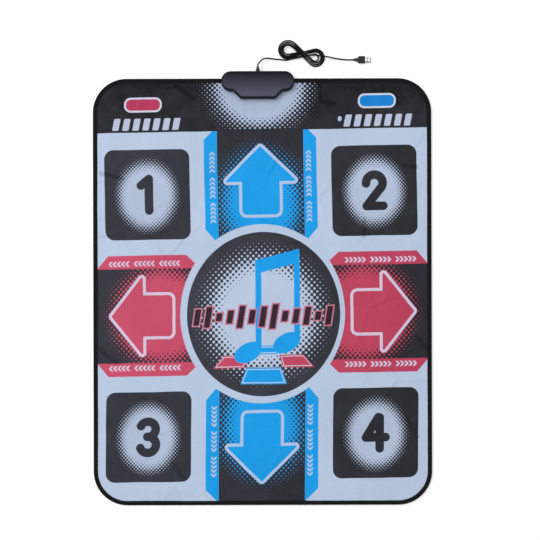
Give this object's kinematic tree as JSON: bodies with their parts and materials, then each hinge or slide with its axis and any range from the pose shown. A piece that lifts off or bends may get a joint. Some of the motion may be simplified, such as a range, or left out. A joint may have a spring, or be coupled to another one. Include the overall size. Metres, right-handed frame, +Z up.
{
  "type": "dance mat controller",
  "caption": "Soft foot-pressed game controller mat with arrow panels, corner panels, a control box on the top edge and a USB cord.",
  "frame": {"origin": "middle of the mat's underside, on the surface it lies on", "axes": "+Z up out of the printed face, +Y along the mat's length toward the control box, +X to the player's right"},
  "size_m": [0.738, 1.0142, 0.0285],
  "materials": {
    "cover": "smooth coated woven fabric, printed",
    "panel": "smooth coated woven fabric, printed",
    "binding": "woven tape",
    "backing": "matte, fine grip texture",
    "foam": "fine closed-cell foam",
    "film": "satin film",
    "carbon": "printed carbon ink",
    "box_plastic": "fine spark texture",
    "board": "solder mask",
    "chip": "matte resin",
    "cord_jacket": "satin jacket",
    "plated_steel": "bright plate",
    "plug_plastic": "satin",
    "gilt": "gilt"
  },
  "bodies": {
    "mat": {"grip_backing": "backing", "base_foam": "foam", "lower_film": "film", "spacer_foam": "foam", "upper_film": "film", "top_foam": "foam", "cover_sheet": "cover", "edge_binding": "binding", "box_top_shell": "box_plastic", "box_bottom_shell": "box_plastic", "circuit_board": "board", "controller_chip": "chip", "flex_tail": "film", "tail_clamp": "box_plastic", "box_screw_1": "plated_steel", "box_screw_2": "plated_steel", "box_screw_3": "plated_steel", "box_screw_4": "plated_steel", "strain_relief": "cord_jacket", "cord_lead": "cord_jacket", "cord_hank": "cord_jacket", "cord_tail": "cord_jacket", "plug_overmold": "cord_jacket", "plug_shell": "plated_steel", "plug_tongue": "plug_plastic", "plug_contact_1": "gilt", "plug_contact_2": "gilt", "plug_contact_3": "gilt", "plug_contact_4": "gilt"},
    "up": {"up_cover": "panel", "up_foam": "foam", "up_contact": "carbon"},
    "down": {"down_cover": "panel", "down_foam": "foam", "down_contact": "carbon"},
    "left": {"left_cover": "panel", "left_foam": "foam", "left_contact": "carbon"},
    "right": {"right_cover": "panel", "right_foam": "foam", "right_contact": "carbon"},
    "corner_1": {"corner_1_cover": "panel", "corner_1_foam": "foam", "corner_1_contact": "carbon"},
    "corner_2": {"corner_2_cover": "panel", "corner_2_foam": "foam", "corner_2_contact": "carbon"},
    "corner_3": {"corner_3_cover": "panel", "corner_3_foam": "foam", "corner_3_contact": "carbon"},
    "corner_4": {"corner_4_cover": "panel", "corner_4_foam": "foam", "corner_4_contact": "carbon"},
    "select": {"select_cover": "panel", "select_foam": "foam", "select_contact": "carbon"},
    "start": {"start_cover": "panel", "start_foam": "foam", "start_contact": "carbon"}
  },
  "joints": [
    {"name": "up_press", "type": "slide", "parent": "mat", "child": "up", "axis": [0, 0, -1], "range_m": [0, 0.0018], "stiffness_N_per_m": 8000},
    {"name": "down_press", "type": "slide", "parent": "mat", "child": "down", "axis": [0, 0, -1], "range_m": [0, 0.0018], "stiffness_N_per_m": 8000},
    {"name": "left_press", "type": "slide", "parent": "mat", "child": "left", "axis": [0, 0, -1], "range_m": [0, 0.0018], "stiffness_N_per_m": 8000},
    {"name": "right_press", "type": "slide", "parent": "mat", "child": "right", "axis": [0, 0, -1], "range_m": [0, 0.0018], "stiffness_N_per_m": 8000},
    {"name": "corner_1_press", "type": "slide", "parent": "mat", "child": "corner_1", "axis": [0, 0, -1], "range_m": [0, 0.0018], "stiffness_N_per_m": 8000},
    {"name": "corner_2_press", "type": "slide", "parent": "mat", "child": "corner_2", "axis": [0, 0, -1], "range_m": [0, 0.0018], "stiffness_N_per_m": 8000},
    {"name": "corner_3_press", "type": "slide", "parent": "mat", "child": "corner_3", "axis": [0, 0, -1], "range_m": [0, 0.0018], "stiffness_N_per_m": 8000},
    {"name": "corner_4_press", "type": "slide", "parent": "mat", "child": "corner_4", "axis": [0, 0, -1], "range_m": [0, 0.0018], "stiffness_N_per_m": 8000},
    {"name": "select_press", "type": "slide", "parent": "mat", "child": "select", "axis": [0, 0, -1], "range_m": [0, 0.0018], "stiffness_N_per_m": 3000},
    {"name": "start_press", "type": "slide", "parent": "mat", "child": "start", "axis": [0, 0, -1], "range_m": [0, 0.0018], "stiffness_N_per_m": 3000}
  ]
}
